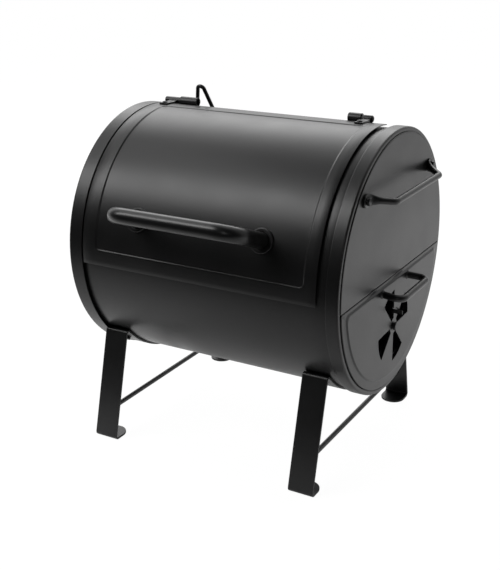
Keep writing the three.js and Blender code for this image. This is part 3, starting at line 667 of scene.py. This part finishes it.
LEG_BOLT_ANGLES = {"front": -52, "rear": -128}
LEG_BOLT_SEAT = SHELL_R + STRAP + 2 * GAP
LEG_BOLT = {"radius": 6, "height": 4, "shank_r": 3, "shank": 14}


def leg_bolts():
    for side in ("left", "right"):
        low, high = local_box(f"{side}_leg_frame")
        for end, angle in LEG_BOLT_ANGLES.items():
            foot = on_barrel((low.x + high.x) / 2, LEG_BOLT_SEAT, angle)
            hex_bolt(f"{side}_{end}_leg_bolt", BODY, foot, outward(angle), **LEG_BOLT)


# ---- Hinges ----------------------------------------------------------------------------------------
TUBE_R = 6.75
TUBE_SHEET = 1.55
KNUCKLE_ANGLES = range(-78, -420, -12)        # degrees round the pin
LEAF_ANGLES = (108.5, 101)
LEAF_SEAT = SHELL_R + 0.35
LEAF_RIVET_ANGLE = 105.5
LEAF_RIVET = {"radius": 5.4, "height": 2.8, "shank_r": 3, "shank": 4}


def hinge_leaf(side):
    """A strip that lies on the barrel behind the lid and rolls up into a tube round the pin."""
    node = f"{side}_hinge_leaf"
    low, high = local_box(node)
    middle_r = TUBE_R - TUBE_SHEET / 2
    leaf = [polar(LEAF_SEAT + TUBE_SHEET / 2, a) for a in spread(*LEAF_ANGLES, 1)]
    knuckle = [Vector((HINGE_Y, HINGE_Z)) + middle_r * Vector((math.cos(a), math.sin(a)))
               for a in (math.radians(d) for d in KNUCKLE_ANGLES)]
    path = [*leaf, *knuckle]
    drawing = strip(path, [(low.x, high.x)] * len(path), TUBE_SHEET)
    piece(f"{side}_knuckle", drawing, BODY, node, "black_paint", bevel=0.35, crease=50)
    foot = on_barrel((low.x + high.x) / 2, LEAF_SEAT + TUBE_SHEET + 0.1, LEAF_RIVET_ANGLE)
    dome_screw(f"{side}_hinge_leaf_rivet", BODY, foot, outward(LEAF_RIVET_ANGLE), **LEAF_RIVET)


PIN_R = 5.0
PIN_DOME = PIN_R * 0.55
PAD_R = LID_R + GAP
PAD = 2.2
PAD_FRONT = 90                # degrees round the barrel
PAD_REAR = 97.3
LUG_START = 95.6              # where the lug rises out of the pad
LUG_SPREAD = (1.3, -0.6)      # degrees from the hinge axis to the lug's rear and front corners
LUG_OVER = 1                  # how far past the hinge axis the lug ends
WEB_ROUNDS = (0.6, 0.6, 1.5, 1.5, 3, 0.6)
HINGE_LUGS = {"left": (-178, -165), "right": (143.5, 155.5)}
ARM_SCREW_ANGLE = 91.6
ARM_SCREW = {"radius": 4, "height": 2.2, "shank_r": 2, "shank": 6.5}


def hinge_arm(side):
    """A pad on the lid that rises into a lug, and the pin through the leaf's tube."""
    node = f"{side}_lid_hinge_arm"
    low, high = local_box(node)
    x0, x1 = HINGE_LUGS[side]
    axis_angle = math.degrees(math.atan2(HINGE_Z, -HINGE_Y))
    lug_r = math.hypot(HINGE_Y, HINGE_Z) + LUG_OVER
    under = [polar(PAD_R, PAD_FRONT), polar(PAD_R, PAD_REAR)]
    lug = [polar(lug_r, axis_angle + turn) for turn in LUG_SPREAD]
    over = [polar(PAD_R + PAD, LUG_START), polar(PAD_R + PAD, PAD_FRONT)]
    web = rounded_loop([*under, *lug, *over], WEB_ROUNDS, 4)
    drawing = lofted([[(x, *p) for p in web] for x in (x0, x1)])
    length = high.x - low.x
    dome = [(PIN_DOME * (1 - math.sin(a)), PIN_R * math.cos(a))
            for a in (math.radians(d) for d in (90, 70, 50, 30, 12, 0))]
    pin = dome + [(length - h, r) for h, r in reversed(dome)]
    drawing.add(turned(pin, (low.x, HINGE_Y, HINGE_Z), (1, 0, 0), 32))
    piece(f"{side}_arm", drawing, LID, node, "black_paint", bevel=0.4, crease=40)
    foot = on_barrel((x0 + x1) / 2, PAD_R + PAD + 0.15, ARM_SCREW_ANGLE)
    dome_screw(f"{side}_hinge_arm_screw", LID, foot, outward(ARM_SCREW_ANGLE), **ARM_SCREW)


# ---- Lid stop: a bent rod loop behind the lid ------------------------------------------------------
STOP_ROD_R = 3.0
STOP_BASE_ANGLE = 111.5
STOP_FEET_X = (-24, 7)        # from the middle of the CAD loop
STOP_TOP = Vector((-2, 3.9, 9))      # its sharp top: from that middle, the hinge axis and the CAD's top
STOP_BEND = 5.6
STOP_SIDE = Vector((0, 1, 0.35))     # across the plane that the loop lies in
STOP_WELD = [(0, 0), (0, 4.6), (0.8, 4.4), (2.0, 3.4), (2.6, 2.6), (2.6, 0)]


def lid_stop():
    low, high = local_box("lid_stop")
    middle = (low.x + high.x) / 2
    feet = [on_barrel(middle + x, SHELL_R + 1, STOP_BASE_ANGLE) for x in STOP_FEET_X]
    top = Vector((middle, HINGE_Y, high.z)) + STOP_TOP
    path = fillet([feet[0], top, feet[1]], [STOP_BEND], 14)
    drawing = round_bar(path, STOP_ROD_R, STOP_SIDE, 20, 5)
    for foot in feet:
        seat = on_barrel(foot.x, SHELL_R + GAP, STOP_BASE_ANGLE)
        drawing.add(turned(STOP_WELD, seat, outward(STOP_BASE_ANGLE), 24))
    piece("stop_loop", drawing, BODY, "lid_stop", "black_paint")


# ---- Lid handle ------------------------------------------------------------------------------------
HANDLE_ANGLE = 19.5
GRIP_ANGLE = 19.9             # the grip sits a touch higher than its feet
HANDLE_X = 97.5
HANDLE_R = 11.0
HANDLE_REACH = 75.0
HANDLE_BEND = 31.0
PANEL_R = LID_R - PANEL_SINK
ROSETTE_R = 17.0
ROSETTE_UNDER = -0.9          # its back goes below the curved panel
ROSETTE_TOP = 3.2
ROSETTE_DISH = 2.4
ROSETTE_ROUNDS = (0.2, 1.3, 0.8, 0.2)
HANDLE_FOOT = PANEL_R + 3.6


def lid_handle():
    grip = PANEL_R + HANDLE_REACH
    corners = [on_barrel(-HANDLE_X, HANDLE_FOOT, HANDLE_ANGLE), on_barrel(-HANDLE_X, grip, GRIP_ANGLE),
               on_barrel(HANDLE_X, grip, GRIP_ANGLE), on_barrel(HANDLE_X, HANDLE_FOOT, HANDLE_ANGLE)]
    path = fillet(corners, [HANDLE_BEND, HANDLE_BEND], 14)
    bar = round_bar(path, HANDLE_R, outward(GRIP_ANGLE + 90), 40, 8)
    piece("handle_tube", bar, LID, "lid_handle", "handle_paint", bevel=0.5)
    profile = fillet([(ROSETTE_UNDER, 0), (ROSETTE_UNDER, ROSETTE_R), (ROSETTE_TOP, ROSETTE_R),
                      (ROSETTE_TOP, HANDLE_R + 1.2), (ROSETTE_DISH, HANDLE_R + 0.6), (ROSETTE_DISH, 0)],
                     ROSETTE_ROUNDS, 5)
    for name, sign in (("left", -1), ("right", 1)):
        foot = on_barrel(sign * HANDLE_X, PANEL_R, HANDLE_ANGLE)
        piece(f"{name}_rosette", turned(profile, foot, outward(HANDLE_ANGLE), 64), LID,
              f"{name}_handle_rosette", "handle_paint", crease=60)


# ---- Carry handle: a rod whose ends are flattened into eyes ----------------------------------------
CARRY_R = 4.5
CARRY_GRIP_Y = 83
CARRY_BENDS = (14, 9, 9, 14)
EYE_R = 9.0
EYE_HALF = 1.5
EYE_BLEND = (5, 24)           # how far from the bolt the flat eye turns into the round rod
EYE_POWERS = (0.45, 0.8)      # below 1 they square off a circle, across and along the eye
CARRY_BOLT = {"radius": 5.5, "height": 4.3, "shank_r": 3, "shank": 11}


def towards(start, stop, share):
    return start + (stop - start) * share


def carry_section(from_middle, bolt_y):
    """The rod's cross-section: a flat with a round end at the eye, changing to a circle at the grip."""
    past = from_middle - bolt_y
    blend = smoothstep(*EYE_BLEND, max(0.0, -past))
    eye_wide = EYE_R if past <= 0 else math.sqrt(max(0.2, EYE_R ** 2 - past ** 2))
    thin = towards(EYE_HALF, CARRY_R, blend)
    wide = towards(eye_wide, CARRY_R, blend)
    thin_power = towards(EYE_POWERS[0], 1, blend)
    wide_power = towards(EYE_POWERS[1], 1, blend)
    return [(math.copysign(abs(a) ** thin_power, a) * thin, math.copysign(abs(b) ** wide_power, b) * wide)
            for a, b in circle(1)]


def carry_handle():
    nuts = [local(centre_of(f"carry_handle_{end}_nut")) for end in ("front", "rear")]
    low, high = local_box("carry_handle")
    eye_x = FACE_X + GAP + EYE_HALF
    bolt_y, bolt_z = nuts[1].y, nuts[1].z
    middle = (nuts[0].y + nuts[1].y) / 2
    half = [(eye_x, bolt_y + EYE_R, bolt_z), (eye_x, bolt_y - EYE_R - 2, bolt_z - 0.5),
            (high.x - CARRY_R, CARRY_GRIP_Y, low.z + CARRY_R)]
    other = [(x, 2 * middle - y, z) for x, y, z in reversed(half)]
    path = resample(fillet([*half, *other], CARRY_BENDS, 8), 2.5)
    drawing = tube(path, lambda k: carry_section(abs(path[k].y - middle), bolt_y), UP)
    piece("carry_rod", drawing, BODY, "carry_handle", "black_paint", crease=50)
    for end, nut in zip(("front", "rear"), nuts):
        foot = (eye_x + EYE_HALF + 0.1, nut.y, nut.z)
        hex_bolt(f"carry_handle_{end}_bolt", BODY, foot, (1, 0, 0), **CARRY_BOLT)


# ---- Ash drawer front ------------------------------------------------------------------------------
DOOR_R = 182.4
DOOR_CORNER = 3
DOOR_ROUND = 1.1
SKIRT = 10.7
DRAWER_RAISE = 1.8
PANEL_SHEET = 1.5
BORDER = (11.8, 14.8)         # where the slope up to the raised panel starts and ends, in from the arc
CHORD_BORDER = (3.6, 8.4)     # and in from the straight top edge
SLOPE_CORNER = (6, 9)
TUCK = 1.1                    # the slope runs on a little, under the panel's edge
VENT_TILT, VENT_WIDTH, VENT_INNER, VENT_OUTER = 23, 41, 12, 56
TAB_SLOT = (18.8, 27.2)


def by_hub(r, degrees):
    a = math.radians(degrees)
    return Vector((HUB.y + r * math.cos(a), HUB.z + r * math.sin(a)))


def hub_arc(r, start, stop, step):
    return [by_hub(r, a) for a in spread(start, stop, step)]


def door_loop(inset, chord_inset, corner, x):
    """The drawer front's D outline, drawn in from its edge."""
    return [(x, *p) for p in segment(DOOR_R - inset, CHORD_Z - chord_inset, corner)]


def edge_loop(inset, x):
    return door_loop(inset, inset, DOOR_CORNER, x)


def slope_loop(t, x):
    """A loop part of the way up the slope between the drawer front's border and its panel."""
    return door_loop(towards(*BORDER, t), towards(*CHORD_BORDER, t), towards(*SLOPE_CORNER, t), x)


def vent_outline(centre):
    start, stop = centre - VENT_WIDTH / 2, centre + VENT_WIDTH / 2
    fan = spread(start, stop, VENT_WIDTH / 10)
    return [by_hub(VENT_OUTER, a) for a in fan] + [by_hub(VENT_INNER, a) for a in reversed(fan)]


def joined_upper_vents():
    """The two upper openings and the arc slot between them, for the finger tab, as one outline."""
    half = VENT_WIDTH / 2
    a, b = VENT_TILT - half, VENT_TILT + half
    c, d = VENT_TILT + 90 - half, VENT_TILT + 90 + half
    low, high = TAB_SLOT
    return [*hub_arc(VENT_OUTER, a, b, 5), *hub_arc(high, b, c, 7), *hub_arc(VENT_OUTER, c, d, 5),
            *hub_arc(VENT_INNER, d, c, 7), *hub_arc(low, c, b, 7), *hub_arc(VENT_INNER, b, a, 7)]


def drawer_front():
    border_x = DRAWER_X - DRAWER_RAISE
    skirt_x = DRAWER_X - SKIRT
    panel_back = DRAWER_X - PANEL_SHEET
    border_back = border_x - PANEL_SHEET
    outside = [edge_loop(0, skirt_x), edge_loop(0, border_x - DOOR_ROUND), edge_loop(0.3, border_x - 0.3),
               edge_loop(DOOR_ROUND, border_x)]
    slope = [slope_loop(t, border_x + DRAWER_RAISE * smoothstep(0, 1, t)) for t in spread(0, 1, 0.125)]
    tuck = slope_loop(TUCK, DRAWER_X - PANEL_SHEET / 2)
    inside = [slope_loop(TUCK, panel_back), slope_loop(0.2, border_back),
              edge_loop(PANEL_SHEET, border_back), edge_loop(PANEL_SHEET, skirt_x)]
    drawing = Drawing()
    front = drawing.loft([*outside, *slope, tuck], cap_ends=False)
    back = drawing.loft(inside, cap_ends=False)
    drawing.bridge(back[-1], front[0])
    rim = [Vector(p[1:]) for p in slope_loop(0.99, DRAWER_X)]
    holes = [joined_upper_vents(), vent_outline(VENT_TILT + 180), vent_outline(VENT_TILT + 270)]
    drawing.add(plate(rim, holes, panel_back, DRAWER_X))
    piece("drawer_panel", drawing, DRAWER, "drawer_front", "black_paint", crease=18)


# ---- Drawer handle and damper bolt -----------------------------------------------------------------
HANDLE_ROD_R = 5.0
HANDLE_ROD_BEND = 11
HANDLE_SPLAY = 4              # the handle's feet stand this much closer together than its corners
HANDLE_DROP = 2               # and this much higher
HANDLE_SINK = 0.3
WELD = [(0, 0), (0, HANDLE_ROD_R + 2), (0.8, HANDLE_ROD_R + 1.6), (2.2, HANDLE_ROD_R + 0.2), (2.6, 0)]
WELD_ROUNDS = (0.2, 0.6, 0.4)
DAMPER_BOLT = {"radius": 6, "height": 4.8, "shank_r": 3, "shank": 10}


def drawer_handle():
    low, high = local_box("drawer_handle")
    grip_x = high.x - HANDLE_ROD_R
    grip_z = (low.z + high.z - HANDLE_DROP) / 2
    root_z = grip_z + HANDLE_DROP
    middle = (low.y + high.y) / 2
    grip_y = (high.y - low.y) / 2 - HANDLE_ROD_R
    root_y = grip_y - HANDLE_SPLAY
    seat_x = DRAWER_X - HANDLE_SINK
    root_x = seat_x - 0.2
    path = fillet([(root_x, middle - root_y, root_z), (grip_x, middle - grip_y, grip_z),
                   (grip_x, middle + grip_y, grip_z), (root_x, middle + root_y, root_z)],
                  [HANDLE_ROD_BEND, HANDLE_ROD_BEND], 9)
    drawing = round_bar(path, HANDLE_ROD_R, UP, 24, 5)
    for y in (middle - root_y, middle + root_y):
        drawing.add(turned(fillet(WELD, WELD_ROUNDS, 3), (seat_x, y, root_z), (1, 0, 0), 32))
    piece("drawer_rod", drawing, DRAWER, "drawer_handle", "black_paint", crease=50)


def damper():
    hex_bolt("damper_bolt", DAMPER, (DRAWER_X + 0.2, HUB.y, HUB.z), (1, 0, 0), **DAMPER_BOLT)


# ---- CAD nodes that stay: their finish and a small edge rounding -----------------------------------
KEPT_ROUND = 0.5
KEPT_CREASE = 40


def finish_kept_nodes():
    slots = {entry["node"]: entry["material_slot"] for entry in frame["record"]["subparts"]}
    for name, thing in frame["nodes"].items():
        thing.data.materials.clear()
        thing.data.materials.append(SLOT_MATERIALS[slots[name]])
        edge = thing.modifiers.new("edge", "BEVEL")
        edge.width = KEPT_ROUND * MM
        edge.segments = 2
        edge.limit_method = "ANGLE"
        edge.angle_limit = math.radians(KEPT_CREASE)


# ---- Stage, light and camera -----------------------------------------------------------------------
def add(nodes, kind, **values):
    node = nodes.new(kind)
    for name, value in values.items():
        setattr(node, name, value)
    return node


def fade(tree, value, low, high, start, stop):
    """A smooth change from start to stop as value goes from low to high."""
    node = add(tree.nodes, "ShaderNodeMapRange", interpolation_type="SMOOTHSTEP")
    for name, number in (("From Min", low), ("From Max", high), ("To Min", start), ("To Max", stop)):
        node.inputs[name].default_value = number
    tree.links.new(value, node.inputs["Value"])
    return node.outputs["Result"]


def is_seen(tree):
    return add(tree.nodes, "ShaderNodeLightPath").outputs["Is Camera Ray"]


FLOOR_REACH = 60.0
FLOOR_SHOWN = 0.97               # how bright the bare floor looks
FLOOR_SHADE = 0.08               # how much of the lamps' light and shadow shows on it
FRONT_FADE = (-1.0, 0.1)         # painted shade: the floor is darker this far in front, for everything but the camera
FLOOR_PAINT = (0.03, 0.9)        # how bright it is there and behind; the dark front is painted shade
# painted light: the floor glows this much in the object's reflections, though it is no lamp
FLOOR_GLOW = 0.3


def shader_sum(tree, first, second):
    total = add(tree.nodes, "ShaderNodeAddShader")
    tree.links.new(first.outputs[0], total.inputs[0])
    tree.links.new(second.outputs[0], total.inputs[1])
    return total


def floor_material():
    """A pale floor in view, and in the object's reflections one that is dark in front with painted shade and glows
    behind with painted light.
    """
    material = bpy.data.materials.new("pale_floor")
    material.use_nodes = True
    tree = material.node_tree
    tree.nodes.clear()
    split = add(tree.nodes, "ShaderNodeSeparateXYZ")
    tree.links.new(add(tree.nodes, "ShaderNodeTexCoord").outputs["Object"], split.inputs["Vector"])
    # painted shade: the floor's colour darkens towards the front
    paint = fade(tree, split.outputs["Y"], *FRONT_FADE, *FLOOR_PAINT)
    lit = add(tree.nodes, "ShaderNodeBsdfDiffuse")
    tree.links.new(paint, lit.inputs["Color"])
    # painted light: an emission glow on the floor, brighter behind
    glow = add(tree.nodes, "ShaderNodeEmission")
    glow.inputs["Strength"].default_value = FLOOR_GLOW
    tree.links.new(paint, glow.inputs["Color"])
    shown = add(tree.nodes, "ShaderNodeEmission")
    shown.inputs["Strength"].default_value = FLOOR_SHOWN
    matt = add(tree.nodes, "ShaderNodeBsdfDiffuse")
    matt.inputs["Color"].default_value = (FLOOR_SHADE, FLOOR_SHADE, FLOOR_SHADE, 1)
    pick = add(tree.nodes, "ShaderNodeMixShader")
    tree.links.new(is_seen(tree), pick.inputs["Fac"])
    tree.links.new(shader_sum(tree, lit, glow).outputs[0], pick.inputs[1])
    tree.links.new(shader_sum(tree, shown, matt).outputs[0], pick.inputs[2])
    output = add(tree.nodes, "ShaderNodeOutputMaterial")
    tree.links.new(pick.outputs[0], output.inputs["Surface"])
    return material


def stage():
    mesh = bpy.data.meshes.new("studio_floor")
    reach = FLOOR_REACH
    mesh.from_pydata([(-reach, -reach, 0), (reach, -reach, 0), (reach, reach, 0), (-reach, reach, 0)], [],
                     [(0, 1, 2, 3)])
    mesh.materials.append(floor_material())
    floor = bpy.data.objects.new("studio_floor", mesh)
    floor.location.z = cad_low.z
    bpy.context.scene.collection.objects.link(floor)


LAMPS = (
    {"name": "key", "place": (-1.33, -1.35, 1.98), "width": 1.9, "height": 0.76, "radiance": 5.5,
     "roll": 40},
    {"name": "overhead", "place": (-1.2, -0.65, 2.3), "width": 1.6, "height": 0.9, "radiance": 1.45},
    {"name": "fill", "place": (0.95, -1.9, 1.1), "width": 0.35, "height": 0.7, "radiance": 1.8},
    {"name": "back", "place": (-1.0, 1.8, 1.9), "width": 2.6, "height": 1.2, "radiance": 2.4, "aim": 0.3},
)


def softbox(name, place, width, height, radiance, roll=0, aim=0.4):
    """A rectangular lamp aimed at a height on the part's middle line and rolled by some degrees, which
    looks equally bright from every side in front of it."""
    data = bpy.data.lights.new(name, "AREA")
    data.shape = "RECTANGLE"
    data.size, data.size_y = width, height
    data.energy = radiance * math.pi * width * height
    lamp = bpy.data.objects.new(name, data)
    lamp.location = place
    turn = Quaternion((0, 0, 1), math.radians(roll))
    towards_part = Vector((0, 0, aim)) - Vector(place)
    lamp.rotation_euler = (towards_part.to_track_quat("-Z", "Y") @ turn).to_euler()
    bpy.context.scene.collection.objects.link(lamp)


WORLD_BACK = 1.0
WORLD_FRONT = 0.03
WORLD_FADE = (-0.15, 0.35)       # the backdrop brightens between these places towards the back
WORLD_RIGHT = (0.1, 0.5)         # and is dimmer between these places to the right
WORLD_RIGHT_DIM = 0.45


def backdrop():
    """White in view, and a gradient in the object's reflections."""
    world = bpy.data.worlds.new("studio")
    bpy.context.scene.world = world
    world.use_nodes = True
    tree = world.node_tree
    split = add(tree.nodes, "ShaderNodeSeparateXYZ")
    tree.links.new(add(tree.nodes, "ShaderNodeTexCoord").outputs["Generated"], split.inputs["Vector"])
    around = fade(tree, split.outputs["Y"], *WORLD_FADE, WORLD_FRONT, WORLD_BACK)
    dim = add(tree.nodes, "ShaderNodeMath", operation="MULTIPLY")
    tree.links.new(around, dim.inputs[0])
    tree.links.new(fade(tree, split.outputs["X"], *WORLD_RIGHT, 1.0, WORLD_RIGHT_DIM), dim.inputs[1])
    shown = add(tree.nodes, "ShaderNodeMix", data_type="FLOAT")
    shown.inputs["B"].default_value = 1.0
    tree.links.new(is_seen(tree), shown.inputs["Factor"])
    tree.links.new(dim.outputs[0], shown.inputs["A"])
    tree.links.new(shown.outputs["Result"], tree.nodes["Background"].inputs["Strength"])
    tree.nodes["Background"].inputs["Color"].default_value = (1, 1, 1, 1)


CAMERA_PLACE = Vector((677.2, -1239.5, 442.8))       # from the middle of the barrel axis
CAMERA_AZIMUTH = 29.36           # degrees from the front towards the ash drawer
CAMERA_ELEVATION = 20.0          # degrees up
LENS = 62.1284
SENSOR = 36.0


def camera():
    data = bpy.data.cameras.new("camera")
    data.sensor_fit = "AUTO"
    data.sensor_width = SENSOR
    data.lens = LENS
    data.clip_start, data.clip_end = 0.05, 200
    eye = bpy.data.objects.new("camera", data)
    a, e = math.radians(CAMERA_AZIMUTH), math.radians(CAMERA_ELEVATION)
    back = Vector((math.sin(a) * math.cos(e), -math.cos(a) * math.cos(e), math.sin(e)))
    eye.location = AXIS + CAMERA_PLACE * MM
    eye.rotation_euler = (-back).to_track_quat("-Z", "Y").to_euler()
    bpy.context.scene.collection.objects.link(eye)
    bpy.context.scene.camera = eye


# ---- The model -------------------------------------------------------------------------------------
barrel_shell()
left_cap()
right_cap()
lid_shell()
for side in ("left", "right"):
    leg_frame(side)
    tie_rod(side)
    hinge_leaf(side)
    hinge_arm(side)
leg_bolts()
lid_stop()
lid_handle()
carry_handle()
drawer_front()
drawer_handle()
damper()
finish_kept_nodes()
stage()
for lamp in LAMPS:
    softbox(**lamp)
backdrop()
camera()
bpy.context.scene.view_settings.view_transform = "Standard"
